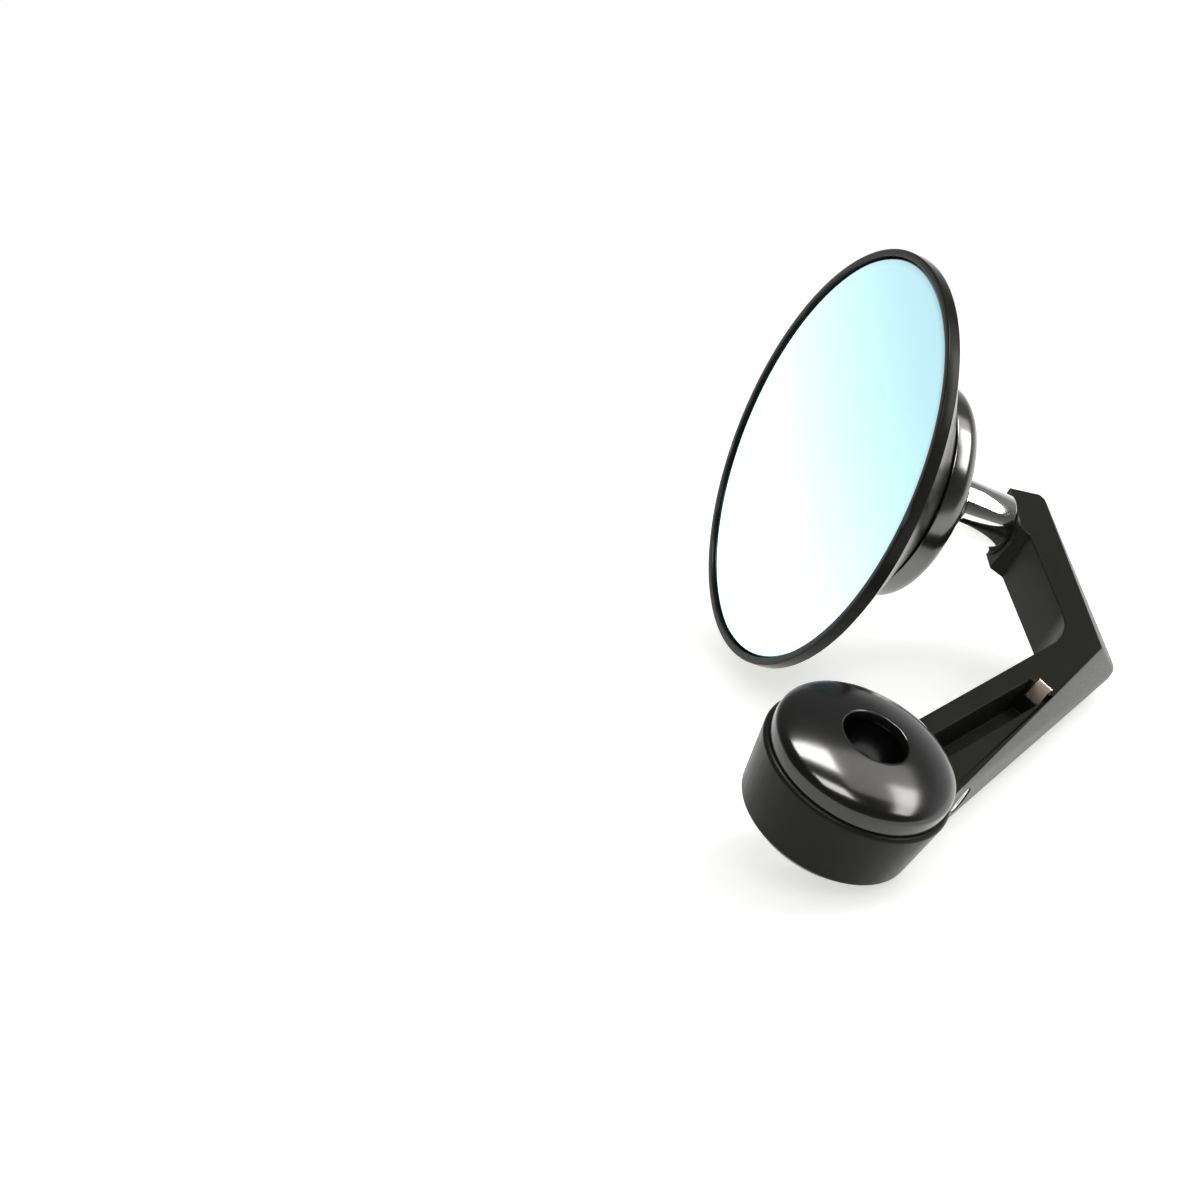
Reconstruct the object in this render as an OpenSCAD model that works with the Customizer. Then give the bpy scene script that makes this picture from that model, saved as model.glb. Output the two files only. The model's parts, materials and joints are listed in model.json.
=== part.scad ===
// Motorcycle bar end mirror, right hand, real size in millimetres.
// X runs along the boss axis, outward from the handlebar end.
// Z is up and the glass faces -Y, towards the rider.
// The origin is the centre of the bar bolt bore on the boss's back face.

/* [Boss] */
// Diameter of the clamp boss at its outer edge
boss_d = 33.6; // [32:0.2:36]
// How much smaller the boss's radius is at the arm's back face
boss_taper = 1.6; // [0.4:0.1:2]
// Height of the boss from its back face to the cap seam
boss_h = 14.6; // [13.5:0.1:18]
// Radial width of the chamfer round the boss's back face
boss_back_chamfer = 2.8; // [1:0.1:3]
// Small chamfer round the boss's outer edge
boss_front_chamfer = 0.5; // [0.2:0.1:0.6]
// Bore for the handlebar end bolt
bar_bore_d = 8.4; // [6.4:0.1:9]
// Diameter of the recess for the bolt's head
bolt_recess_d = 22; // [18:0.5:22.5]
// Floor left under the recess
boss_floor = 6; // [4:0.5:8]

/* [Arm] */
// Step from the cap seam back to the arm's outer face
arm_step = 1.2; // [0.4:0.1:2]
// Step from the boss's back face to the arm's back face
arm_back = 2.4; // [1:0.1:3]
// Distance from the boss axis to the arm's front edge at the knee
knee_y = 62.9; // [58:0.1:70]
// Height of the knee's front corner above the boss axis
knee_z = 44.6; // [40:0.1:50]
// Height of the arm's flat end above the boss axis
arm_top = 87; // [84:0.5:95]
// Width of the upper arm just above the knee
upper_w = 5.8; // [5:0.1:7]
// Width of the upper arm at its end, without the pad
upper_end_w = 7.4; // [6.5:0.1:9]
// Distance from the boss axis to the lower arm's outer edge
outer_offset = 14.3; // [12:0.1:15]
// Distance from the boss axis to the lower arm's inner edge
inner_offset = 2.25; // [1:0.05:4]
// Height of the inner knee corner above the outer one
inner_knee_rise = 2.4; // [1:0.1:4]
// How far the back of the knee stands out in front of the outer face
knee_flare = 9; // [6:0.5:10]
// How far the flare stands out below the lower arm's edge at the knee
knee_drop = 3; // [1:0.1:4]
// Radius of the flare's corner
knee_back_r = 5; // [3:0.5:6]
// Height of the square edge left below the knee's facets
facet_edge = 1.6; // [1:0.1:3]
// Radius of the blends between arm and boss
boss_blend_r = 12; // [8:0.5:14]

/* [Stud pad] */
// How far the pad stands proud of the upper arm
pad_rise = 0.9; // [0.5:0.1:2]
// Distance from the arm's end to the stud hole
stud_below = 4.6; // [4:0.1:8]
// Length of the pad below the stud hole
pad_below = 7; // [5:0.1:9]
// Radius of the corners at the arm's end
end_r = 1; // [0.4:0.1:2]
// Diameter of the stud screw's clearance hole
stud_hole_d = 5.5; // [5.3:0.1:6.4]
// Lean of the pad and the stud, positive aims the head up
stud_up = 5; // [0:0.5:8]
// Turn of the pad and the stud, positive aims the head outward
stud_out = 6; // [0:0.5:8]

/* [Pocket] */
// Width of the long pocket in the outer face
pocket_w = 4.7; // [3.5:0.1:5.5]
// Depth of the pocket
pocket_depth = 7; // [4:0.5:8]
// Distance from the boss axis to the pocket's far end
pocket_end = 54; // [45:0.5:56]
// Distance from the lower arm's inner edge to the pocket's centre line
pocket_inset = 6.1; // [5:0.1:6.5]
// Width of the ramp at the pocket's far end
ramp_w = 3; // [2:0.1:3.4]
// Length of the ramp beyond the pocket's end
ramp_len = 2; // [1:0.1:3]

/* [End cap] */
// Diameter of the domed cap
cap_d = 32; // [29:0.1:32.4]
// Height of the cap's straight wall
cap_wall_h = 2.4; // [1.5:0.1:4]
// Height of the cap from its seam to the edge of its hole
cap_h = 6.3; // [5:0.1:8]
// Diameter of the cap's hole
cap_hole_d = 11.6; // [8:0.1:14]
// Thickness of the cap's dome
cap_shell = 1.8; // [1.2:0.1:2.4]
// Length of the cap's spigot inside the boss
cap_spigot_h = 4; // [3:0.5:6]
// Wall of the cap's spigot
cap_spigot_wall = 2.2; // [1.5:0.1:2.6]
// Diameter of the ring seal's section
cap_ring_t = 1.4; // [1:0.1:1.8]

/* [Side screw] */
// Diameter of the side grub screw
grub_d = 5; // [4:0.5:6]
// Length of the side grub screw
grub_len = 4; // [3:0.5:6]
// Distance along the arm from the boss axis to the grub screw
grub_along = 20.7; // [18.5:0.1:24]
// Depth of the grub screw's face below the arm's edge
grub_sunk = 0.35; // [0.1:0.05:1]
// Distance from the boss's back face to the grub screw's axis
grub_x = 6.6; // [6:0.1:8]
// Width across the grub screw's socket
grub_socket = 2.5; // [2:0.5:3]

/* [Ball stud] */
// Diameter of the ball
ball_d = 13; // [12:0.1:14]
// Diameter of the neck
neck_d = 7.5; // [6.5:0.1:8]
// Diameter of the round stem
stem_d = 12; // [11:0.1:12.2]
// Length from the ball's centre to the stem's flat end
stud_len = 22; // [18:0.1:24]
// Length of the stem's straight part
stem_len = 8.4; // [5:0.1:10]
// Depth of the threaded hole in the stem
stud_thread_depth = 9; // [6:0.5:10]

/* [Stud screw] */
// Nominal diameter of the countersunk stud screw
screw_d = 5; // [4:0.5:6]
// Diameter of the stud screw's head
screw_head_d = 8.4; // [7.4:0.1:8.6]
// Height of the stud screw's head
screw_head_h = 1.7; // [1.4:0.1:2]
// Width across the stud screw's socket
screw_socket = 3; // [2.5:0.5:4]
// Depth of the stud screw's socket
screw_socket_h = 1.8; // [1.2:0.1:2]
// Depth of the stud screw's head below the arm's outer side
screw_sunk = 0.7; // [0.6:0.1:1.2]

/* [Head] */
// Diameter of the mirror head
head_d = 80; // [78:0.5:86]
// Height of the rim's straight band
rim_h = 2.3; // [1.5:0.1:4]
// Width of the rim's front face round the glass
rim_w = 1.4; // [1:0.1:2.5]
// Wall of the head shell
shell_wall = 2.2; // [1.6:0.1:2.6]
// Depth from the rim's front face to the back of the cone
cone_depth = 15.2; // [13:0.1:18]
// Diameter of the cone at its back, under the hub ring
cone_small_d = 38; // [36:0.5:41]
// Diameter of the threaded neck that carries the hub ring
neck_thread_d = 28; // [26:0.5:30]
// Height of the threaded neck
neck_thread_h = 3.6; // [3:0.1:4.5]

/* [Hub ring] */
// Diameter of the hub ring
hub_d = 41.6; // [38:0.1:44]
// Depth from the rim's front face to the hub ring's flat face
head_depth = 20.9; // [19.5:0.1:23]
// Radius of the hub ring's rounded edge
hub_round = 2.9; // [1:0.1:3]
// Gap between the hub ring and the cone
hub_gap = 0.6; // [0.4:0.1:0.8]
// Diameter of the hub ring's hole
hub_hole_d = 12.5; // [12.4:0.1:12.8]
// Width of the chamfer round the hub ring's hole
hub_hole_chamfer = 0.9; // [0.4:0.1:1.2]
// Depth from the hub ring's flat face to the ball's centre
ball_sunk = 3.8; // [3.6:0.1:4.4]

/* [Ball seat] */
// Diameter of the plastic seat
seat_d = 20; // [18:0.5:21]
// Clearance between ball and seat
seat_clear = 0.05; // [0.03:0.01:0.15]
// Wall of the liner between ball and seat
liner_t = 0.8; // [0.6:0.1:1]
// Thickness of the seat under the liner
seat_floor = 1.2; // [1:0.1:2]
// Thickness of the disc spring's steel
spring_t = 0.6; // [0.4:0.1:0.8]
// Rise of the disc spring
spring_rise = 0.8; // [0.4:0.1:1.2]
// Thickness of the thrust washer
thrust_t = 1; // [0.6:0.1:1.5]

/* [Glass] */
// Thickness of the glass
glass_t = 2.2; // [1.8:0.1:3]
// Rise of the convex glass at its middle
glass_rise = 1.1; // [0.5:0.1:2]
// Clearance round the glass
glass_clear = 0.2; // [0.1:0.05:0.4]
// How deep the glass's edge lies below the rim's front face
glass_sunk = 0.5; // [0.2:0.1:1]
// Thickness of the adhesive pad
glass_pad_t = 1; // [0.6:0.1:1.6]
// Inset of the adhesive pad from the glass's edge
pad_inset = 3; // [2:0.5:6]

/* [Head position] */
// Head tilt on its ball, positive turns the glass up
head_tilt = 0; // [-12:0.5:12]
// Head turn on its ball, positive turns the glass outward
head_turn = 0; // [-12:0.5:12]

/* [Hidden] */

fine_fn = 128;
blend_fn = 32;
glass_fn = 1024;
cut = 1;
fit = 0.05;
seat_gap = 0.1;
thread_gap = 0.15;

// Directions of the lower arm's two edges
knee_dist = norm([knee_y, knee_z]);
outer_dir = atan2(knee_z, knee_y) + asin(outer_offset / knee_dist);
inner_corner = [knee_y - upper_w, knee_z + inner_knee_rise];
inner_dir = atan2(inner_corner[1], inner_corner[0]) - asin(inner_offset / norm(inner_corner));
arm_front = boss_h - arm_step;
arm_t = arm_front - arm_back;
arm_mid = arm_back + arm_t / 2;
stud_z = arm_top - stud_below;
end_y = inner_corner[0] + upper_end_w;
pad_y = inner_corner[0] - pad_rise;
pad_z = stud_z - pad_below;
pad_stock = 2 * pad_rise + arm_t / 8;
pad_ramp = 2 * pad_rise;
knee_middle = [knee_y - upper_w / 2, knee_z];
knee_back = [knee_y + knee_flare, knee_z + knee_flare * tan(outer_dir)] + along(outer_dir, 0, -knee_drop);
back_dir = atan2(arm_top - knee_back[1], end_y - knee_back[0]);
back_half = (outer_dir + 180 - back_dir) / 2;

boss_r = boss_d / 2;
boss_low_r = boss_r - boss_taper;
recess_r = bolt_recess_d / 2;

// End cap and its ring seal
cap_r = cap_d / 2;
cap_wall_top = boss_h + cap_wall_h;
cap_hole_r = cap_hole_d / 2;
cap_dome_h = (cap_h - cap_wall_h) / sqrt(1 - (cap_hole_r * cap_hole_r) / (cap_r * cap_r));
cap_bore_top = boss_h + cap_h - cap_shell;
spigot_r = recess_r - fit;
cap_bore_r = spigot_r - cap_spigot_wall;
ring_x = boss_h - cap_spigot_h / 2;
ring_r = recess_r - seat_gap - cap_ring_t / 2;
groove_r = ring_r - cap_ring_t / 2 - seat_gap;

// Side grub screw, along the normal of the arm's outer edge
grub_face = outer_offset - grub_sunk;
grub_inner = grub_face - grub_len;

// Stud, screw and washer along the stud's axis
neck_end = stud_len - stem_len;
taper_len = (stem_d - neck_d) / 2;
outer_y = knee_y + (end_y - knee_y) * (stud_z - knee_z) / (arm_top - knee_z);
screw_top = outer_y - pad_y - screw_sunk;
screw_neck = screw_top - screw_head_h;
tip_gap = 1;
screw_tip = tip_gap - stud_thread_depth;

// Head, as depths behind the rim's front face
head_r = head_d / 2;
ball_r = ball_d / 2;
ball_depth = head_depth - ball_sunk;
cone_small_r = cone_small_d / 2;
cone_slope = (head_r - cone_small_r) / (cone_depth - rim_h);
cone_shift = shell_wall * sqrt(1 + cone_slope * cone_slope);
neck_top = cone_depth + neck_thread_h;
neck_r = neck_thread_d / 2;
bore_r = seat_d / 2 + fit;
liner_in_r = ball_r + seat_clear;
liner_out_r = liner_in_r + liner_t;
seat_in_r = liner_out_r + seat_clear;
seat_bottom = ball_depth - seat_in_r - seat_floor;
thrust_bottom = seat_bottom - fit - thrust_t;
spring_bottom = thrust_bottom - fit - spring_t - spring_rise;
bore_floor = spring_bottom - fit;
spring_in_r = seat_d / 4;
spring_out_r = seat_d / 2 - shell_wall / 4;
collar_drop = 0.3;
collar_depth = ball_depth - collar_drop;
seat_top = collar_depth - 3 * seat_gap;
liner_edge = ball_depth - ball_r / 2;
hub_back = cone_depth + hub_gap;
hub_r = hub_d / 2;
hub_hole_r = hub_hole_d / 2;
collar_r = bore_r - thread_gap;

// Glass, pad and their seats in the shell
glass_r = head_r - rim_w - glass_clear;
glass_sphere_r = (glass_r * glass_r + glass_rise * glass_rise) / (2 * glass_rise);
glass_back = glass_sunk + glass_t;
glass_back_r = glass_sphere_r - glass_t;
glass_centre = glass_sunk - glass_rise + glass_sphere_r;
pad_r = glass_r - pad_inset;
glass_pad_w = 4;
pad_seat = glass_back + glass_pad_t;
hollow_r = pad_r - glass_pad_w;
hollow_step = (head_r - hollow_r) / cone_slope + rim_h - cone_shift / cone_slope;
hollow_end = cone_depth - shell_wall;
hollow_end_r = head_r - cone_shift - (hollow_end - rim_h) * cone_slope;

// Depth of the glass's back at a distance from its axis
function glass_back_at(r) = glass_centre - sqrt(glass_back_r * glass_back_r - r * r);

// A point on a line through the boss's axis, at a distance along and a height above it
function along(dir, dist, side) = [dist * cos(dir) - side * sin(dir), dist * sin(dir) + side * cos(dir)];

// Lays a drawing of the arm's plane, Y and Z, at a height along X
module in_arm_plane(x) {
    translate([x, 0, 0])
        rotate([90, 0, 90])
            children();
}

// Turns an axis along Z into one along X, on the boss's axis
module on_boss_axis() {
    rotate([0, 90, 0])
        children();
}

// Lays an axis along Z on the stud's axis, from the pad's face into the arm
module on_stud_axis(dist) {
    translate([arm_mid, pad_y, stud_z])
        rotate([-stud_up, 0, stud_out])
            rotate([-90, 0, 0])
                translate([0, 0, dist])
                    children();
}

// Lays an axis along Z on the grub screw's axis, outward at the arm's edge
module on_grub_axis() {
    foot = along(outer_dir, grub_along, 0);
    translate([grub_x, foot[0], foot[1]])
        rotate([outer_dir - 180, 0, 0])
            rotate([0, 0, 90])
                children();
}

// Carries the head's pieces, drawn as depths behind the rim's front face
module on_head_axis() {
    on_stud_axis(-stud_len)
        rotate([-head_tilt, -head_turn, 0])
            translate([0, 0, -ball_depth])
                children();
}

// Sharp outline of the arm, lower part and upper part
module arm_sharp() {
    polygon([
        along(outer_dir, 0, -outer_offset),
        [knee_y, knee_z],
        [end_y, arm_top],
        [inner_corner[0], arm_top],
        inner_corner,
        along(inner_dir, 0, inner_offset)
    ]);
}

// Outline of arm and boss with all inside corners filled and outside corners rounded
module arm_outline() {
    offset(r = end_r)
        offset(delta = -end_r)
            offset(r = -boss_blend_r)
                offset(delta = boss_blend_r) {
                    arm_sharp();
                    circle(r = boss_low_r, $fn = fine_fn);
                }
}

module boss_body() {
    on_boss_axis()
        rotate_extrude($fn = fine_fn)
            polygon([
                [0, 0],
                [boss_low_r - boss_back_chamfer, 0],
                [boss_low_r, arm_back],
                [boss_r, boss_h - boss_front_chamfer],
                [boss_r - boss_front_chamfer, boss_h],
                [0, boss_h]
            ]);
}

// The knee's flare along the lower and the upper arm
module knee_facets() {
    knee_facet([
        along(outer_dir, boss_low_r, -outer_offset),
        [knee_y, knee_z],
        knee_middle,
        along(outer_dir, boss_low_r, -outer_offset + end_r)
    ]);
    knee_facet([
        [knee_y, knee_z],
        [end_y, arm_top - end_r],
        [end_y - end_r, arm_top - end_r],
        knee_middle
    ]);
}

// One arm's side of the flare: full at the arm's back, gone at its outer face
module knee_facet(edge) {
    hull() {
        in_arm_plane(arm_back)
            linear_extrude(facet_edge) {
                polygon(edge);
                translate(knee_back + along(outer_dir, -knee_back_r / tan(back_half), knee_back_r))
                    circle(r = knee_back_r, $fn = blend_fn);
            }
        in_arm_plane(arm_front - facet_edge)
            linear_extrude(facet_edge)
                polygon(edge);
    }
}

// The pad that the stud's stem stands on, faced off square to the stud
module stud_pad() {
    difference() {
        in_arm_plane(arm_back)
            linear_extrude(arm_t)
                polygon([
                    [inner_corner[0] + pad_rise, pad_z - pad_ramp],
                    [inner_corner[0], pad_z - pad_ramp],
                    [inner_corner[0] - pad_stock, pad_z - pad_ramp + pad_stock],
                    [inner_corner[0] - pad_stock, arm_top],
                    [inner_corner[0] + pad_rise, arm_top]
                ]);
        on_stud_axis(-arm_t)
            translate([-arm_t, -arm_t, 0])
                cube([2 * arm_t, 2 * arm_t, arm_t]);
    }
}

// The long pocket with the ramp at its far end
module pocket() {
    side = inner_offset - pocket_inset;
    in_arm_plane(arm_front - pocket_depth)
        rotate([0, 0, inner_dir])
            translate([0, side - pocket_w / 2, 0])
                cube([pocket_end, pocket_w, pocket_depth + boss_h]);
    in_arm_plane(arm_front)
        rotate([0, 0, inner_dir])
            translate([pocket_end, side + ramp_w / 2, 0])
                rotate([90, 0, 0])
                    linear_extrude(ramp_w)
                        polygon([
                            [-cut, -pocket_depth],
                            [0, -pocket_depth / 2],
                            [ramp_len, 0],
                            [ramp_len, cut],
                            [-cut, cut]
                        ]);
}

module arm() {
    color([0.10, 0.10, 0.11])
        difference() {
            union() {
                boss_body();
                in_arm_plane(arm_back)
                    linear_extrude(arm_t)
                        arm_outline();
                knee_facets();
                stud_pad();
            }
            on_boss_axis()
                translate([0, 0, -cut])
                    cylinder(h = boss_h, d = bar_bore_d, $fn = fine_fn);
            on_boss_axis()
                translate([0, 0, boss_floor])
                    cylinder(h = boss_h, r = recess_r, $fn = fine_fn);
            pocket();
            on_stud_axis(-cut)
                cylinder(h = upper_end_w + pad_rise, d = stud_hole_d, $fn = fine_fn);
            on_stud_axis(screw_neck)
                screw_head(seat_gap);
            on_stud_axis(screw_top)
                cylinder(h = knee_flare, r = screw_head_d / 2 + seat_gap, $fn = fine_fn);
            on_grub_axis()
                translate([0, 0, grub_inner - seat_gap])
                    cylinder(h = grub_len + outer_offset, r = grub_d / 2 + fit, $fn = fine_fn);
        }
}

// Outer section of the cap: wall, dome and spigot
module cap_outer() {
    translate([0, boss_h + seat_gap / 2])
        square([cap_r, cap_wall_h - seat_gap / 2]);
    intersection() {
        translate([0, cap_wall_top])
            scale([1, cap_dome_h / cap_r])
                circle(r = cap_r, $fn = fine_fn);
        translate([0, cap_wall_top - seat_gap])
            square([cap_r, cap_h]);
    }
    translate([0, boss_h - cap_spigot_h])
        square([spigot_r, cap_spigot_h + cap_wall_h]);
}

module end_cap() {
    color([0.06, 0.06, 0.065])
        on_boss_axis()
            rotate_extrude($fn = fine_fn)
                difference() {
                    cap_outer();
                    translate([0, boss_h - cap_spigot_h - cut])
                        square([cap_bore_r, cap_bore_top - boss_h + cap_spigot_h + cut]);
                    translate([0, boss_h])
                        square([cap_hole_r, cap_h + cap_r]);
                    translate([groove_r, ring_x - cap_ring_t / 2 - seat_gap])
                        square([cap_r, cap_ring_t + 2 * seat_gap]);
                }
}

module cap_ring_seal() {
    color([0.05, 0.05, 0.05])
        on_boss_axis()
            translate([0, 0, ring_x])
                rotate_extrude($fn = fine_fn)
                    translate([ring_r, 0])
                        circle(d = cap_ring_t, $fn = blend_fn);
}

module side_grub_screw() {
    color([0.75, 0.75, 0.76])
        on_grub_axis()
            difference() {
                translate([0, 0, grub_inner])
                    cylinder(h = grub_len, d = grub_d, $fn = fine_fn);
                translate([0, 0, grub_face - grub_len / 2])
                    cylinder(h = grub_len, d = grub_socket / cos(30), $fn = 6);
            }
}

module ball_stud() {
    color([0.85, 0.85, 0.87])
        on_stud_axis(-stud_len)
            rotate_extrude($fn = fine_fn)
                difference() {
                    union() {
                        circle(r = ball_r, $fn = fine_fn);
                        square([neck_d / 2, neck_end]);
                        polygon([
                            [0, neck_end - taper_len],
                            [neck_d / 2, neck_end - taper_len],
                            [stem_d / 2, neck_end],
                            [stem_d / 2, stud_len],
                            [0, stud_len]
                        ]);
                    }
                    translate([-ball_d, -ball_d])
                        square([ball_d, 2 * ball_d + stud_len]);
                    translate([-cut, stud_len - stud_thread_depth])
                        square([cut + screw_d / 2 + fit, stud_thread_depth + cut]);
                }
}

// The countersunk head, grown all round by a clearance
module screw_head(clear) {
    cylinder(h = screw_head_h, r1 = screw_d / 2 + clear, r2 = screw_head_d / 2 + clear, $fn = fine_fn);
}

module stud_screw() {
    color([0.72, 0.72, 0.73])
        difference() {
            union() {
                on_stud_axis(screw_tip)
                    cylinder(h = screw_neck - screw_tip + fit, d = screw_d, $fn = fine_fn);
                on_stud_axis(screw_neck)
                    screw_head(0);
            }
            on_stud_axis(screw_top - screw_socket_h)
                cylinder(h = screw_head_h, d = screw_socket / cos(30), $fn = 6);
        }
}

// A ball's shell between two radii, kept between two depths
module ball_shell(inner_r, outer_r, from_depth, to_depth) {
    rotate_extrude($fn = fine_fn)
        intersection() {
            difference() {
                translate([0, ball_depth])
                    circle(r = outer_r, $fn = fine_fn);
                translate([0, ball_depth])
                    circle(r = inner_r, $fn = fine_fn);
            }
            translate([0, from_depth])
                square([outer_r + cut, to_depth - from_depth]);
        }
}

module ball_liner() {
    color([0.92, 0.92, 0.88])
        on_head_axis()
            ball_shell(liner_in_r, liner_out_r, ball_depth - liner_out_r - cut, liner_edge);
}

module ball_seat() {
    color([0.85, 0.85, 0.8])
        on_head_axis()
            rotate_extrude($fn = fine_fn)
                difference() {
                    translate([0, seat_bottom])
                        square([seat_d / 2, seat_top - seat_bottom]);
                    translate([0, ball_depth])
                        circle(r = seat_in_r, $fn = fine_fn);
                }
}

module thrust_washer() {
    color([0.7, 0.7, 0.72])
        on_head_axis()
            rotate_extrude($fn = fine_fn)
                translate([spring_in_r, thrust_bottom])
                    square([spring_out_r - spring_in_r, thrust_t]);
}

module disc_spring() {
    color([0.5, 0.5, 0.52])
        on_head_axis()
            rotate_extrude($fn = fine_fn)
                polygon([
                    [spring_in_r, spring_bottom + spring_rise],
                    [spring_in_r, spring_bottom + spring_rise + spring_t],
                    [spring_out_r, spring_bottom + spring_t],
                    [spring_out_r, spring_bottom]
                ]);
}

module hub_ring() {
    color([0.11, 0.11, 0.12])
        on_head_axis()
            rotate_extrude($fn = fine_fn)
                difference() {
                    union() {
                        translate([0, hub_back])
                            square([hub_r, head_depth - hub_back - hub_round]);
                        translate([0, hub_back])
                            square([hub_r - hub_round, head_depth - hub_back]);
                        translate([hub_r - hub_round, head_depth - hub_round])
                            circle(r = hub_round, $fn = 2 * blend_fn);
                        translate([0, collar_depth])
                            square([collar_r, head_depth - collar_depth]);
                    }
                    translate([collar_r, collar_depth - cut])
                        square([neck_r + thread_gap - collar_r, neck_top + thread_gap - collar_depth + cut]);
                    translate([0, hub_back])
                        square([neck_r + thread_gap, collar_depth - hub_back]);
                    square([hub_r + cut, hub_back]);
                    translate([0, hub_back])
                        square([hub_hole_r, head_depth]);
                    translate([0, ball_depth])
                        circle(r = liner_in_r, $fn = fine_fn);
                    polygon([
                        [0, head_depth - hub_hole_chamfer],
                        [hub_hole_r, head_depth - hub_hole_chamfer],
                        [hub_hole_r + hub_hole_chamfer + cut, head_depth + cut],
                        [0, head_depth + cut]
                    ]);
                }
}

module head_shell() {
    color([0.11, 0.11, 0.12])
        on_head_axis()
            rotate_extrude($fn = fine_fn)
                polygon([
                    [head_r - rim_w, 0],
                    [head_r, 0],
                    [head_r, rim_h],
                    [cone_small_r, cone_depth],
                    [neck_r, cone_depth],
                    [neck_r, neck_top],
                    [bore_r, neck_top],
                    [bore_r, bore_floor],
                    [0, bore_floor],
                    [0, bore_floor - shell_wall],
                    [bore_r + shell_wall, bore_floor - shell_wall],
                    [bore_r + shell_wall, hollow_end],
                    [hollow_end_r, hollow_end],
                    [hollow_r, hollow_step],
                    [hollow_r, pad_seat],
                    [pad_r + glass_clear, pad_seat],
                    [pad_r + glass_clear, glass_back + fit],
                    [head_r - rim_w, glass_back + fit]
                ]);
}

module glass() {
    color([0.55, 0.65, 0.85])
        on_head_axis()
            rotate_extrude($fn = fine_fn)
                intersection() {
                    difference() {
                        translate([0, glass_centre])
                            circle(r = glass_sphere_r, $fn = glass_fn);
                        translate([0, glass_centre])
                            circle(r = glass_back_r, $fn = glass_fn);
                    }
                    translate([0, -glass_rise])
                        square([glass_r, glass_back + 2 * glass_rise]);
                }
}

module glass_pad() {
    color([0.15, 0.15, 0.15])
        on_head_axis()
            rotate_extrude($fn = fine_fn)
                polygon([
                    [hollow_r, glass_back_at(hollow_r) + fit],
                    [pad_r, glass_back_at(pad_r) + fit],
                    [pad_r, pad_seat],
                    [hollow_r, pad_seat]
                ]);
}

arm();
end_cap();
cap_ring_seal();
side_grub_screw();
ball_stud();
stud_screw();
ball_liner();
ball_seat();
thrust_washer();
disc_spring();
hub_ring();
head_shell();
glass();
glass_pad();
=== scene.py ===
import json
import math
import bmesh
import bpy
from mathutils import Matrix, Vector

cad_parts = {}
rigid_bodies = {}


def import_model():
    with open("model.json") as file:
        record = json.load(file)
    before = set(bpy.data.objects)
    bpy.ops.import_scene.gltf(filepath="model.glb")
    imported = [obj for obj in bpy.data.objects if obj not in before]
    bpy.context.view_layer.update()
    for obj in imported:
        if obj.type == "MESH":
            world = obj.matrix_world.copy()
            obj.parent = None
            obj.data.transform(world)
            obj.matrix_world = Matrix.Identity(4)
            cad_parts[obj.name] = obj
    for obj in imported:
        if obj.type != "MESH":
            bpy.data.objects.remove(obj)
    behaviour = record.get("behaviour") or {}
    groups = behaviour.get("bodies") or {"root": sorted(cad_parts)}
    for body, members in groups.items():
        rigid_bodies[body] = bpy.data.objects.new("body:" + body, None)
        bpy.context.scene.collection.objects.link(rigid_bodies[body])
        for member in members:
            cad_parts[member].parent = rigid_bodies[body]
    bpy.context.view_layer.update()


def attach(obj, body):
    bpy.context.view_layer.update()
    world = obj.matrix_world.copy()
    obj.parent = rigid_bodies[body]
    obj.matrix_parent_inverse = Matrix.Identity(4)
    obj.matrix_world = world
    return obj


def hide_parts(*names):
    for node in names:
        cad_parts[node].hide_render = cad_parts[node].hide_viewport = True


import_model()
scene = bpy.context.scene

MM = 0.001
# The direction that is up in the photograph, square to the floor
UP = Vector((0.88936, -0.29308, 0.35091)).normalized()

# Camera, in metres and in pixels of the photograph
CAMERA_AT = (0.316441, -0.250366, -0.350647)
CAMERA_RIGHT = (0.39537, 0.89997, -0.18369)
CAMERA_FORWARD = (-0.57156, 0.39760, 0.71780)
FOCAL_PIXELS = 3264.74
PHOTO_PIXELS = 1200
SENSOR_MM = 36

# Ball stud: the point where its stem meets the arm, its lean and its sizes, in millimetres and degrees
STUD_AT = (7.9, 56.2, 82.4)
STUD_YAW = 6.0
STUD_PITCH = -5.0
STUD_LEN = 22.0
STEM_R = 6.0
STEM_END = -10.9
NECK_R = 3.75
NECK_END = -12.9
BALL_R = 6.5
BALL_STEPS = 24
THREAD_R = 2.55
THREAD_DEPTH = 9.0

# Side screw: its direction from the boss's centre, and where its tip lies
EDGE_RUN = 62.9
EDGE_RISE = 44.6
EDGE_OFFSET = 14.3
GRUB_REACH = 20.7
GRUB_X = 6.6
SCREW_R = 2.5
GRUB_SOCKET = 1.25
STUD_SCREW_SOCKET = 1.5

# Pocket in the arm: its direction, and where the faces of its end lie
POCKET_DIR = 37.5
POCKET_END = (53.9, 56.3)
POCKET_TOP = 13.5

# Cap, measured from the boss's back face
CAP_R = 16.0
CAP_BASE = 14.65
CAP_WALL = 17.0
CAP_TOP = 20.9
CAP_HOLE_R = 5.8
CAP_STEPS = 26
PLUG_R = 10.95
PLUG_BORE_R = 8.75
PLUG_END = 10.6
SEAL_R = 9.4
SEAL_FROM = 11.8
SEAL_TO = 13.4

# Head, by depth behind the rim's front
HEAD_R = 40
RIM_W = 2.3
LIP_R = 38.6
CONE_END_R = 20.2
CONE_DEPTH = 15.2
COLLAR_R = 14
COLLAR_DEPTH = 18.8
HUB_BORE_R = 10.05
BALL_DEPTH = 17.1

# Hub ring, by the same depth
RING_R = 20.8
RING_FRONT = 15.3
RING_BACK = 20.9
RING_ROUND = 2.9
RING_STEPS = 12
RING_HOLE_R = 7.15
RING_INNER_R = 14.15
RING_SHELF = 18.95

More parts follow.
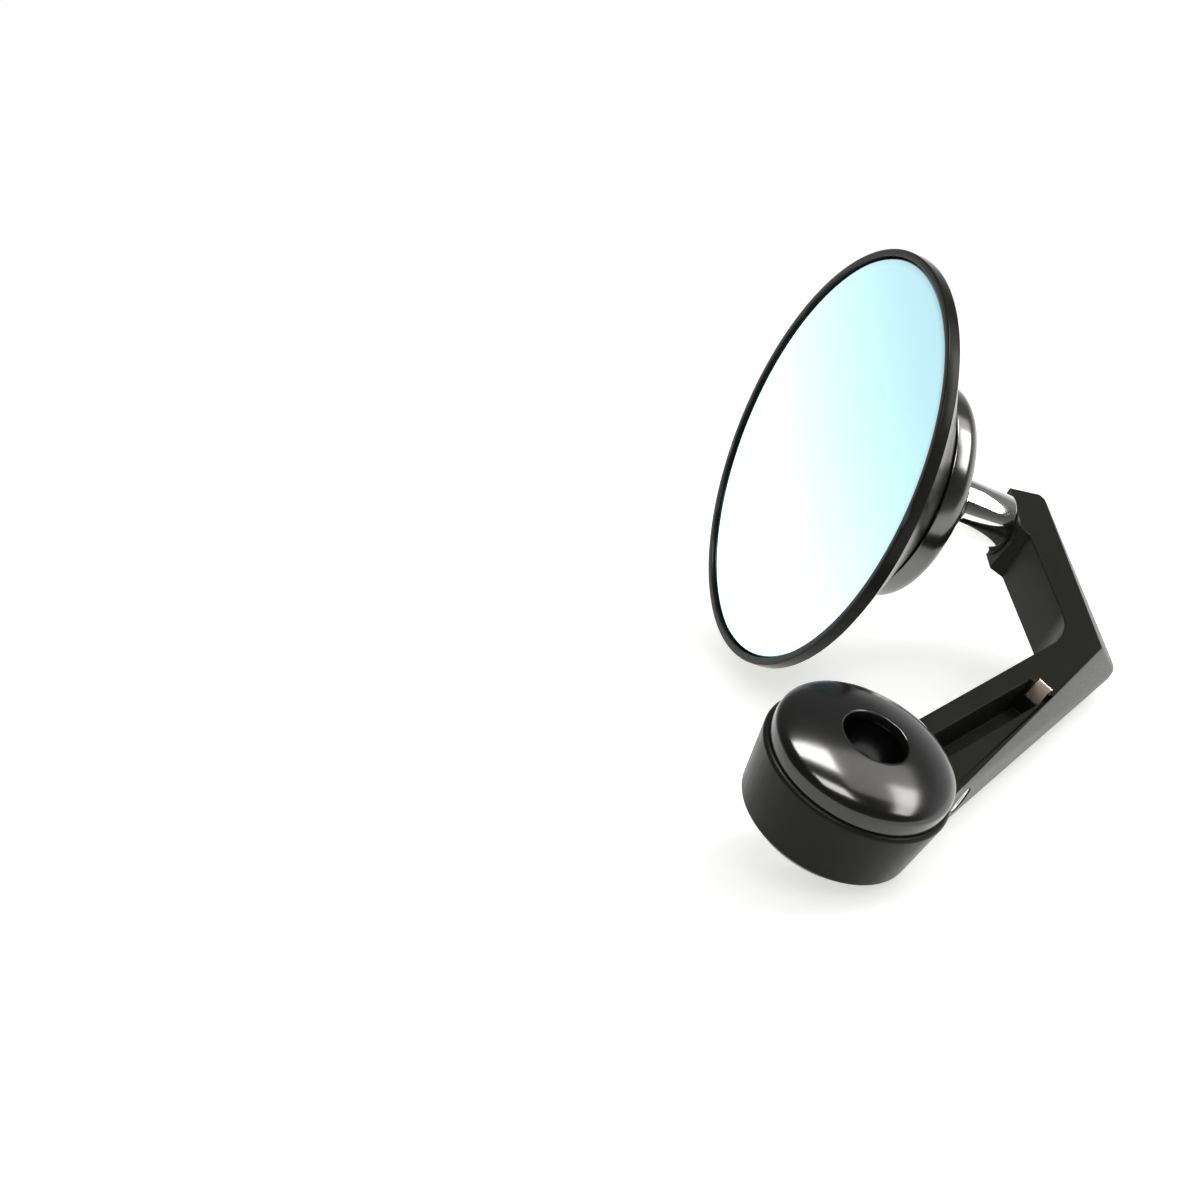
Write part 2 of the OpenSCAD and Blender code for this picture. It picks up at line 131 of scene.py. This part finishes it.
# Glass
GLASS_R = 38.4
GLASS_RISE = 1.1
GLASS_T = 2.2
GLASS_SUNK = 0.5
GLASS_STEPS = 24

# Floor and lamps, in metres
FLOOR_R = 0.6
FLOOR_CORNERS = 64
FLOOR_FOOT = Vector((0.01, 0.03, 0.05))
FLOOR_DROP = 0.00002
FLOOR_FADE = (0.15, 0.32)
LAMP_TARGET = Vector((0.01, 0.035, 0.05))
LAMP_DISTANCE = 0.8
LAMP_COLOUR = (1.0, 0.985, 0.95)


# Camera
def add_camera():
    data = bpy.data.cameras.new("photo_camera")
    cam = bpy.data.objects.new("photo_camera", data)
    scene.collection.objects.link(cam)
    scene.camera = cam
    forward = Vector(CAMERA_FORWARD).normalized()
    up = Vector(CAMERA_RIGHT).normalized().cross(forward).normalized()
    right = forward.cross(up).normalized()
    cam.matrix_world = Matrix((
        (right.x, up.x, -forward.x, CAMERA_AT[0]),
        (right.y, up.y, -forward.y, CAMERA_AT[1]),
        (right.z, up.z, -forward.z, CAMERA_AT[2]),
        (0, 0, 0, 1)))
    data.sensor_width = SENSOR_MM
    data.lens = FOCAL_PIXELS / PHOTO_PIXELS * SENSOR_MM
    data.clip_start = 0.01
    data.clip_end = 50


add_camera()


# Materials
def new_mat(name):
    m = bpy.data.materials.new(name)
    m.use_nodes = True
    t = m.node_tree
    t.nodes.clear()
    out = t.nodes.new("ShaderNodeOutputMaterial")
    bsdf = t.nodes.new("ShaderNodeBsdfPrincipled")
    t.links.new(bsdf.outputs[0], out.inputs[0])
    return m, t, bsdf


def node(t, kind, **values):
    n = t.nodes.new(kind)
    for k, v in values.items():
        setattr(n, k, v)
    return n


def coords(t):
    return node(t, "ShaderNodeTexCoord").outputs["Object"]


def ramp(t, source, low, high, a, b):
    """A straight run from a at low to b at high, held beyond them"""
    r = node(t, "ShaderNodeMapRange")
    r.inputs["From Min"].default_value = low
    r.inputs["From Max"].default_value = high
    r.inputs["To Min"].default_value = a
    r.inputs["To Max"].default_value = b
    t.links.new(source, r.inputs["Value"])
    return r.outputs["Result"]


def noise(t, vec, scale, detail=3.0, rough=0.5):
    n = node(t, "ShaderNodeTexNoise")
    n.inputs["Scale"].default_value = scale
    n.inputs["Detail"].default_value = detail
    n.inputs["Roughness"].default_value = rough
    t.links.new(vec, n.inputs["Vector"])
    return n.outputs["Fac"]


def math_node(t, operation, a, b, c=None):
    """A Math node; each input is a number or an output"""
    n = node(t, "ShaderNodeMath", operation=operation)
    for socket, value in zip(n.inputs, (a, b, c)):
        if hasattr(value, "links"):
            t.links.new(value, socket)
        elif value is not None:
            socket.default_value = value
    return n.outputs[0]


def mix_rgb(t, fac, a, b):
    m = node(t, "ShaderNodeMix", data_type="RGBA")
    t.links.new(fac, m.inputs[0])
    m.inputs[6].default_value = (*a, 1)
    m.inputs[7].default_value = (*b, 1)
    return m.outputs[2]


def scaled(colour, factor):
    return tuple(c * factor for c in colour)


def bump(t, height, strength, distance, bsdf):
    b = node(t, "ShaderNodeBump")
    b.inputs["Strength"].default_value = strength
    b.inputs["Distance"].default_value = distance
    t.links.new(height, b.inputs["Height"])
    t.links.new(b.outputs[0], bsdf.inputs["Normal"])


def satin_black(name, base, rough, specular, grain=2600.0, spread=0.06, ior=1.5):
    """Anodised black with a fine grain, a little paler on worn edges"""
    m, t, b = new_mat(name)
    v = coords(t)
    cloud = ramp(t, noise(t, v, 60.0, 4.0, 0.55), 0.3, 0.7, 0.0, 1.0)
    fine = noise(t, v, grain, 2.0, 0.6)
    col = mix_rgb(t, cloud, scaled((0.86, 0.88, 0.72), base), scaled((1.2, 1.2, 1.0), base))
    edges = node(t, "ShaderNodeNewGeometry").outputs["Pointiness"]
    wear = ramp(t, edges, 0.53, 0.62, 0.0, 1.0)
    worn = mix_rgb(t, wear, scaled((1, 1, 0.85), base), (0.085, 0.084, 0.072))
    both = node(t, "ShaderNodeMix", data_type="RGBA", blend_type="LIGHTEN")
    both.inputs[0].default_value = 1.0
    t.links.new(col, both.inputs[6])
    t.links.new(worn, both.inputs[7])
    t.links.new(both.outputs[2], b.inputs["Base Color"])
    t.links.new(ramp(t, fine, 0.25, 0.75, rough - spread, rough + spread), b.inputs["Roughness"])
    b.inputs["Specular IOR Level"].default_value = specular
    b.inputs["IOR"].default_value = ior
    bump(t, fine, 0.12, 0.00002, b)
    return m


def gloss_black(name):
    """Gloss paint with a faint orange peel"""
    m, t, b = new_mat(name)
    v = coords(t)
    peel = noise(t, v, 350.0, 2.0, 0.4)
    dust = noise(t, v, 2200.0, 4.0, 0.6)
    b.inputs["Base Color"].default_value = (0.012, 0.012, 0.0115, 1)
    t.links.new(ramp(t, dust, 0.35, 0.75, 0.15, 0.17), b.inputs["Roughness"])
    b.inputs["Specular IOR Level"].default_value = 0.52
    bump(t, peel, 0.05, 0.00004, b)
    return m


def turned_metal(name, colour, rough, pitch, strength):
    m, t, b = new_mat(name)
    v = coords(t)
    fine = noise(t, v, pitch, 2.0, 0.7)
    smudge = noise(t, v, 140.0, 4.0, 0.6)
    tone = ramp(t, smudge, 0.35, 0.7, 0.0, 1.0)
    t.links.new(mix_rgb(t, tone, colour, scaled(colour, 0.9)), b.inputs["Base Color"])
    t.links.new(ramp(t, smudge, 0.3, 0.7, rough * 0.75, rough * 1.3), b.inputs["Roughness"])
    b.inputs["Metallic"].default_value = 1.0
    bump(t, fine, strength, 0.00001, b)
    return m


def plain(name, colour, rough, scale=1800.0, strength=0.1):
    m, t, b = new_mat(name)
    n = noise(t, coords(t), scale, 3.0, 0.6)
    tone = ramp(t, n, 0.3, 0.7, 0.0, 1.0)
    t.links.new(mix_rgb(t, tone, colour, scaled(colour, 0.82)), b.inputs["Base Color"])
    t.links.new(ramp(t, n, 0.3, 0.7, rough - 0.05, rough + 0.05), b.inputs["Roughness"])
    bump(t, n, strength, 0.00003, b)
    return m


def tinted_mirror(name):
    """Blue tinted mirror glass"""
    m, t, b = new_mat(name)
    v = coords(t)
    film = ramp(t, noise(t, v, 22.0, 2.0, 0.5), 0.3, 0.7, 0.0, 1.0)
    specks = noise(t, v, 4200.0, 2.0, 0.5)
    t.links.new(mix_rgb(t, film, (0.56, 0.905, 0.995), (0.585, 0.92, 1.0)), b.inputs["Base Color"])
    t.links.new(ramp(t, specks, 0.55, 0.8, 0.015, 0.05), b.inputs["Roughness"])
    b.inputs["Metallic"].default_value = 1.0
    return m


def pale_metal_patch(name):
    """Pale tan metal on the upper part of the pocket's end, satin black below it"""
    m, t, b = new_mat(name)
    v = coords(t)
    split = node(t, "ShaderNodeSeparateXYZ")
    t.links.new(v, split.inputs[0])
    height = math_node(t, "MULTIPLY_ADD", noise(t, v, 1500.0, 2.0, 0.6), 0.0006, split.outputs[0])
    pale_metal = ramp(t, height, 0.0102, 0.0106, 0.0, 1.0)
    t.links.new(mix_rgb(t, pale_metal, (0.009, 0.009, 0.008), (0.95, 0.80, 0.68)), b.inputs["Base Color"])
    t.links.new(pale_metal, b.inputs["Metallic"])
    t.links.new(ramp(t, pale_metal, 0.0, 1.0, 0.33, 0.42), b.inputs["Roughness"])
    b.inputs["Specular IOR Level"].default_value = 0.06
    return m


ARM_MAT = satin_black("arm_satin_black", 0.019, 0.33, 0.07)
HEAD_MAT = satin_black("head_satin_black", 0.020, 0.24, 0.07, grain=3200.0)
HUB_MAT = satin_black("hub_polished_black", 0.014, 0.17, 0.95, grain=3200.0, spread=0.03, ior=1.65)
CAP_MAT = gloss_black("cap_gloss_black")
CHROME = turned_metal("stud_chrome", (0.80, 0.80, 0.79), 0.07, 12000.0, 0.03)
RAMP = pale_metal_patch("pale_metal_ramp")
STEEL = turned_metal("screw_steel", (0.78, 0.76, 0.73), 0.34, 7000.0, 0.15)
SPRING = turned_metal("spring_steel", (0.34, 0.33, 0.32), 0.35, 6000.0, 0.15)
MIRROR = tinted_mirror("blue_mirror_glass")
RUBBER = plain("black_rubber", (0.02, 0.02, 0.02), 0.7)
FOAM = plain("black_foam", (0.035, 0.035, 0.035), 0.9, 2600.0, 0.5)
ACETAL = plain("acetal", (0.78, 0.77, 0.73), 0.42, 700.0)


# Places of the turned pieces: each one's own axis is Z
def rot(axis, degrees):
    return Matrix.Rotation(math.radians(degrees), 4, axis)


def moved(place):
    return Matrix.Translation(Vector(place) * MM)


EDGE_DIR = math.degrees(math.atan2(EDGE_RISE, EDGE_RUN)
                        + math.asin(EDGE_OFFSET / math.hypot(EDGE_RUN, EDGE_RISE)))
GRUB_AT = (GRUB_X,
           GRUB_REACH * math.cos(math.radians(EDGE_DIR)),
           GRUB_REACH * math.sin(math.radians(EDGE_DIR)))
STUD = moved(STUD_AT) @ rot("Z", STUD_YAW) @ rot("X", STUD_PITCH) @ rot("X", -90)
HEAD = STUD @ moved((0, 0, -STUD_LEN - BALL_DEPTH))
BOSS = rot("Y", 90)
GRUB = moved(GRUB_AT) @ rot("X", EDGE_DIR - 180) @ rot("Z", 90)


# Turned shapes
def arc_corner(a, b, c, radius, steps=4):
    """The points of a round of this radius on the corner b between a and c"""
    a, b, c = Vector(a), Vector(b), Vector(c)
    u, w = (a - b), (c - b)
    lu, lw = u.length, w.length
    u, w = u / lu, w / lw
    half = math.acos(max(-1, min(1, u.dot(w)))) / 2
    if half > math.pi / 2 - 0.02:
        return [b]
    cut = min(radius / math.tan(half), lu * 0.48, lw * 0.48)
    r = cut * math.tan(half)
    centre = b + (u + w).normalized() * (r / math.sin(half))
    va, vb = b + u * cut - centre, b + w * cut - centre
    turn = va.angle(vb)
    sign = 1 if va.x * vb.y - va.y * vb.x > 0 else -1
    out = []
    for i in range(steps + 1):
        ang = sign * turn * i / steps
        s, k = math.sin(ang), math.cos(ang)
        out.append(centre + Vector((va.x * k - va.y * s, va.x * s + va.y * k)))
    return out


def rounded(points, closed):
    """points: (r, z) or (r, z, corner radius), in millimetres"""
    pts, n = [], len(points)
    for i, p in enumerate(points):
        radius = p[2] if len(p) > 2 else 0
        if radius and (closed or 0 < i < n - 1):
            pts += arc_corner(points[i - 1][:2], p[:2], points[(i + 1) % n][:2], radius)
        else:
            pts.append(Vector(p[:2]))
    return pts


def lathe_ring(bm, p, seg, hexed):
    """The vertices of one ring: a single one on the axis, a hexagon's for a socket"""
    if abs(p.x) < 1e-6:
        return [bm.verts.new((0, 0, p.y * MM))]
    ring = []
    for k in range(seg):
        a = 2 * math.pi * k / seg
        r = p.x / math.cos(a % (math.pi / 3) - math.pi / 6) if hexed else p.x
        ring.append(bm.verts.new((r * MM * math.cos(a), r * MM * math.sin(a), p.y * MM)))
    return ring


def lathe(name, points, matrix, mat, body, source, closed=True, seg=224, smooth=28, socket=None):
    """Turns a section round its axis, in place of the CAD node of this source"""
    bm = bmesh.new()
    rings = []
    for p in rounded(points, closed):
        rings.append(lathe_ring(bm, p, seg, socket is not None and abs(p.x - socket) < 1e-6))
    pairs = list(zip(rings, rings[1:])) + ([(rings[-1], rings[0])] if closed else [])
    for a, b in pairs:
        for k in range(seg):
            j = (k + 1) % seg
            corners = [a[k % len(a)], a[j % len(a)], b[j % len(b)], b[k % len(b)]]
            corners = [v for i, v in enumerate(corners) if v not in corners[:i]]
            if len(corners) > 2:
                bm.faces.new(corners)
    bmesh.ops.recalc_face_normals(bm, faces=bm.faces)
    me = bpy.data.meshes.new(name)
    bm.to_mesh(me)
    bm.free()
    me.transform(matrix)
    ob = bpy.data.objects.new(name, me)
    scene.collection.objects.link(ob)
    me.shade_smooth()
    me.set_sharp_from_angle(angle=math.radians(smooth))
    me.materials.append(mat)
    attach(ob, body)
    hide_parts(source)


# The arm and its boss
def add_arm():
    """The arm's CAD mesh in a new object, its flat faces joined and its edges broken"""
    me = bpy.data.objects["arm"].data.copy()
    me.name = "arm_dressed"
    bm = bmesh.new()
    bm.from_mesh(me)
    bmesh.ops.remove_doubles(bm, verts=bm.verts, dist=2e-6)
    bmesh.ops.dissolve_limit(bm, angle_limit=math.radians(0.6), verts=bm.verts, edges=bm.edges)
    bm.to_mesh(me)
    bm.free()
    ob = bpy.data.objects.new("arm_dressed", me)
    scene.collection.objects.link(ob)
    me.materials.clear()
    me.materials.append(ARM_MAT)
    me.materials.append(RAMP)
    me.shade_smooth()
    broken = ob.modifiers.new("edges", "BEVEL")
    broken.width = 0.28 * MM
    broken.segments = 3
    broken.limit_method = "ANGLE"
    broken.angle_limit = math.radians(30)
    broken.use_clamp_overlap = False
    broken.harden_normals = False
    even = ob.modifiers.new("normals", "WEIGHTED_NORMAL")
    even.mode = "FACE_AREA"
    even.weight = 60
    even.keep_sharp = True
    along = Vector((0, math.cos(math.radians(POCKET_DIR)), math.sin(math.radians(POCKET_DIR))))
    for f in me.polygons:
        in_end = POCKET_END[0] < f.center.dot(along) / MM < POCKET_END[1]
        below_top = f.center.x / MM < POCKET_TOP
        if in_end and below_top and 0.2 < f.normal.x < 0.98 and f.normal.dot(along) < -0.05:
            f.material_index = 1
    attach(ob, "arm")
    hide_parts("arm")


def cap_section():
    dome_h = (CAP_TOP - CAP_WALL) / math.sqrt(1 - (CAP_HOLE_R / CAP_R) ** 2)
    pts = [
        (PLUG_BORE_R, PLUG_END, 0.2), (PLUG_R, PLUG_END, 0.3),
        (PLUG_R, SEAL_FROM), (SEAL_R, SEAL_FROM), (SEAL_R, SEAL_TO), (PLUG_R, SEAL_TO),
        (PLUG_R, CAP_BASE), (CAP_R, CAP_BASE, 0.35), (CAP_R, CAP_WALL)]
    for i in range(1, CAP_STEPS):
        r = CAP_HOLE_R + (CAP_R - CAP_HOLE_R) * math.cos(math.pi / 2 * i / CAP_STEPS)
        pts.append((r, CAP_WALL + dome_h * math.sqrt(max(0, 1 - (r / CAP_R) ** 2))))
    return pts + [(CAP_HOLE_R, CAP_TOP, 0.4), (CAP_HOLE_R, 19.1, 0.2), (PLUG_BORE_R, 19.1)]


def stud_section():
    """Ball, neck and stem; the ball's centre lies at minus STUD_LEN"""
    pts = [(0, -STUD_LEN - BALL_R)]
    sweep = math.pi / 2 + math.acos(NECK_R / BALL_R)
    for i in range(1, BALL_STEPS + 1):
        a = sweep * i / BALL_STEPS - math.pi / 2
        pts.append((BALL_R * math.cos(a), -STUD_LEN + BALL_R * math.sin(a)))
    return pts + [
        (NECK_R, NECK_END, 0.5), (STEM_R, STEM_END, 0.5), (STEM_R, 0, 0.35),
        (THREAD_R, 0), (THREAD_R, -THREAD_DEPTH), (0, -THREAD_DEPTH)]


add_arm()
lathe("side_screw_dressed",
      [(0, 12.4), (GRUB_SOCKET, 12.4), (GRUB_SOCKET, 14.4, 0.12), (SCREW_R, 14.4, 0.25),
       (SCREW_R, 9.95, 0.3), (0, 9.95)],
      GRUB, STEEL, "arm", "side_grub_screw", closed=False, seg=96, socket=GRUB_SOCKET)
lathe("stud_screw_dressed",
      [(0, 5.63), (STUD_SCREW_SOCKET, 5.63), (STUD_SCREW_SOCKET, 7.43, 0.1), (4.2, 7.43, 0.12),
       (SCREW_R, 5.73), (SCREW_R, -8.0, 0.3), (0, -8.0)],
      STUD, STEEL, "arm", "stud_screw", closed=False, seg=96, socket=STUD_SCREW_SOCKET)
lathe("end_cap_dressed", cap_section(), BOSS, CAP_MAT, "arm", "end_cap", smooth=40)
lathe("ball_stud_dressed", stud_section(), STUD, CHROME, "arm", "ball_stud",
      closed=False, smooth=35)


# The head
def ring_section():
    """The hub ring, with its rear edge rounded and its hole fitted to the ball"""
    turn = RING_BACK - RING_ROUND
    flat_r = RING_R - RING_ROUND
    pts = [(RING_R, RING_FRONT, 0.25), (RING_R, turn)]
    for i in range(1, RING_STEPS):
        a = math.pi / 2 * i / RING_STEPS
        pts.append((flat_r + RING_ROUND * math.cos(a), turn + RING_ROUND * math.sin(a)))
    return pts + [
        (flat_r, RING_BACK), (RING_HOLE_R, RING_BACK, 0.2), (6.25, 20.0, 0.2), (6.25, RING_SHELF),
        (6.5, 17.9), (6.56, 17.1), (6.55, 16.8), (9.9, 16.8, 0.2), (9.9, RING_SHELF),
        (RING_INNER_R, RING_SHELF), (RING_INNER_R, RING_FRONT)]


def glass_section():
    """A slightly domed disc of even thickness"""
    big = (GLASS_R ** 2 + GLASS_RISE ** 2) / (2 * GLASS_RISE)
    centre = GLASS_SUNK - GLASS_RISE + big
    radii = [GLASS_R * i / GLASS_STEPS for i in range(GLASS_STEPS + 1)]
    front = [(r, centre - math.sqrt(big ** 2 - r ** 2)) for r in radii]
    back = [(r, centre - math.sqrt((big - GLASS_T) ** 2 - r ** 2)) for r in reversed(radii)]
    front[-1] = (*front[-1], 0.5)
    back[0] = (*back[0], 0.3)
    return front + back


lathe("head_shell_dressed",
      [(LIP_R, 0, 0.12), (HEAD_R, 0, 0.3), (HEAD_R, RIM_W, 0.3), (CONE_END_R, CONE_DEPTH, 0.15),
       (COLLAR_R, CONE_DEPTH, 0.3), (COLLAR_R, COLLAR_DEPTH, 0.3), (HUB_BORE_R, COLLAR_DEPTH, 0.2),
       (HUB_BORE_R, 4.73), (0, 4.73), (0, 2.53), (12.25, 2.53, 0.3), (12.25, 13.0, 0.4),
       (18.38, 13.0, 0.8), (31.2, 5.12, 0.3), (31.2, 3.7), (35.4, 3.7), (35.4, 2.75), (LIP_R, 2.75)],
      HEAD, HEAD_MAT, "head", "head_shell")
lathe("hub_ring_dressed", ring_section(), HEAD, HUB_MAT, "head", "hub_ring")
lathe("glass_dressed", glass_section(), HEAD, MIRROR, "head", "glass",
      closed=False, smooth=30)

# Pieces carried over from the frame as they are
for name, mat in (
        ("cap_ring_seal", RUBBER), ("ball_liner", ACETAL), ("ball_seat", ACETAL),
        ("thrust_washer", SPRING), ("disc_spring", SPRING), ("glass_pad", FOAM)):
    ob = bpy.data.objects.get(name)
    ob.data.materials.clear()
    ob.data.materials.append(mat)


# Floor
def add_floor():
    """A pale disc under the lowest point, faded out toward its edge and open from below"""
    low = min(v.co.dot(UP) for o in bpy.data.objects if o.type == "MESH" for v in o.data.vertices)
    foot = FLOOR_FOOT - UP * (FLOOR_FOOT.dot(UP) - low + FLOOR_DROP)
    side = UP.cross(Vector((0, 0, 1))).normalized()
    ahead = side.cross(UP).normalized()
    bm = bmesh.new()
    corners = []
    for k in range(FLOOR_CORNERS):
        a = 2 * math.pi * k / FLOOR_CORNERS
        corners.append(bm.verts.new(foot + side * FLOOR_R * math.cos(a) + ahead * FLOOR_R * math.sin(a)))
    bm.faces.new(corners)
    bm.normal_update()
    for f in bm.faces:
        if f.normal.dot(UP) < 0:
            f.normal_flip()
    me = bpy.data.meshes.new("studio_floor")
    bm.to_mesh(me)
    bm.free()
    floor = bpy.data.objects.new("studio_floor", me)
    scene.collection.objects.link(floor)
    floor.data.materials.append(pale_floor(foot))


def pale_floor(foot):
    m, t, b = new_mat("pale_floor")
    b.inputs["Base Color"].default_value = (0.90, 0.90, 0.885, 1)
    b.inputs["Roughness"].default_value = 0.9
    b.inputs["Specular IOR Level"].default_value = 0.1
    path = node(t, "ShaderNodeLightPath")
    mirrored = math_node(t, "MAXIMUM", path.outputs["Is Glossy Ray"], path.outputs["Is Transmission Ray"])
    direct = math_node(t, "MULTIPLY", path.outputs["Is Camera Ray"], 0.58)
    emit = node(t, "ShaderNodeEmission")
    emit.inputs["Color"].default_value = (1, 1, 0.99, 1)
    t.links.new(math_node(t, "MULTIPLY_ADD", mirrored, 1.0, direct), emit.inputs["Strength"])
    add = node(t, "ShaderNodeAddShader")
    t.links.new(b.outputs[0], add.inputs[0])
    t.links.new(emit.outputs[0], add.inputs[1])
    away = node(t, "ShaderNodeVectorMath", operation="DISTANCE")
    t.links.new(coords(t), away.inputs[0])
    away.inputs[1].default_value = foot
    gone = ramp(t, away.outputs["Value"], *FLOOR_FADE, 0.0, 1.0)
    geometry = node(t, "ShaderNodeNewGeometry")
    mixer = node(t, "ShaderNodeMixShader")
    t.links.new(math_node(t, "MAXIMUM", geometry.outputs["Backfacing"], gone), mixer.inputs[0])
    t.links.new(add.outputs[0], mixer.inputs[1])
    t.links.new(node(t, "ShaderNodeBsdfTransparent").outputs[0], mixer.inputs[2])
    out = [n for n in t.nodes if n.type == "OUTPUT_MATERIAL"][0]
    t.links.new(mixer.outputs[0], out.inputs[0])
    return m


add_floor()


# Lamps
def area(name, way, size, size_y, radiance, fills):
    """A lamp in this direction, facing the mirror; one that doesn't fill shows in reflections only"""
    d = bpy.data.lights.new(name, "AREA")
    d.energy = radiance * math.pi * size * size_y
    d.color = LAMP_COLOUR
    d.shape = "RECTANGLE"
    d.size = size
    d.size_y = size_y
    o = bpy.data.objects.new(name, d)
    o.location = LAMP_TARGET + Vector(way).normalized() * LAMP_DISTANCE
    o.rotation_mode = "QUATERNION"
    o.rotation_quaternion = (LAMP_TARGET - o.location).to_track_quat("-Z", "Y")
    o.visible_diffuse = fills
    scene.collection.objects.link(o)


KEY_WAY = (0.87, 0.35, 0.28)
area("key_wide", KEY_WAY, 0.52, 0.42, 2.6, True)
area("key_middle", KEY_WAY, 0.38, 0.30, 2.2, True)
area("key_core", KEY_WAY, 0.24, 0.18, 2.2, True)
area("side_softbox", (0.81, 0.56, 0.0), 0.18, 0.52, 11.0, False)
area("window_left", (0.87, -0.20, 0.38), 0.52, 0.20, 27.0, False)
area("window_low", (0.93, -0.26, -0.17), 0.42, 0.20, 16.0, False)

# World: (height, level) pairs, with height 0 straight below and 1 straight above
FILL_LEVELS = ((0.0, 0.45), (0.5, 0.5), (1.0, 0.6))
MIRRORED_LEVELS = (
    (0.0, 1.0), (0.47, 1.8), (0.50, 1.7), (0.53, 1.28),
    (0.557, 1.0), (0.66, 0.6), (0.72, 0.22), (1.0, 0.14))
# Reflections are dim on the side away from this direction
LIT_SIDE = (-0.33, 0.42, 0.84)


def dot_with(t, vec, direction):
    n = node(t, "ShaderNodeVectorMath", operation="DOT_PRODUCT")
    t.links.new(vec, n.inputs[0])
    n.inputs[1].default_value = direction
    return n.outputs["Value"]


def level(t, height, pairs):
    r = node(t, "ShaderNodeValToRGB")
    stops = r.color_ramp.elements
    while len(stops) < len(pairs):
        stops.new(0.5)
    for stop, (position, value) in zip(stops, pairs):
        stop.position = position
        stop.color = (value, value, value, 1)
    t.links.new(height, r.inputs["Fac"])
    return r.outputs["Color"]


def add_world():
    """White to the camera, plain fill for matt surfaces, a graded surround for glossy ones"""
    world = bpy.data.worlds.new("studio")
    scene.world = world
    world.use_nodes = True
    t = world.node_tree
    t.nodes.clear()
    way = node(t, "ShaderNodeTexCoord").outputs["Generated"]
    path = node(t, "ShaderNodeLightPath")
    height = ramp(t, dot_with(t, way, UP), -1.0, 1.0, 0.0, 1.0)
    shiny = math_node(t, "MAXIMUM", path.outputs["Is Glossy Ray"], path.outputs["Is Transmission Ray"])
    mirrored = node(t, "ShaderNodeVectorMath", operation="SCALE")
    t.links.new(level(t, height, MIRRORED_LEVELS), mirrored.inputs[0])
    t.links.new(ramp(t, dot_with(t, way, LIT_SIDE), -0.1, 0.35, 0.12, 1.0), mirrored.inputs["Scale"])
    sky = node(t, "ShaderNodeMix", data_type="RGBA")
    t.links.new(shiny, sky.inputs[0])
    t.links.new(level(t, height, FILL_LEVELS), sky.inputs[6])
    t.links.new(mirrored.outputs[0], sky.inputs[7])
    lit = node(t, "ShaderNodeBackground")
    t.links.new(sky.outputs[2], lit.inputs["Color"])
    lit.inputs["Strength"].default_value = 1.0
    white = node(t, "ShaderNodeBackground")
    white.inputs["Color"].default_value = (1, 1, 1, 1)
    white.inputs["Strength"].default_value = 1.0
    mixer = node(t, "ShaderNodeMixShader")
    t.links.new(path.outputs["Is Camera Ray"], mixer.inputs[0])
    t.links.new(lit.outputs[0], mixer.inputs[1])
    t.links.new(white.outputs[0], mixer.inputs[2])
    out = node(t, "ShaderNodeOutputWorld")
    t.links.new(mixer.outputs[0], out.inputs[0])


add_world()
scene.view_settings.view_transform = "Standard"
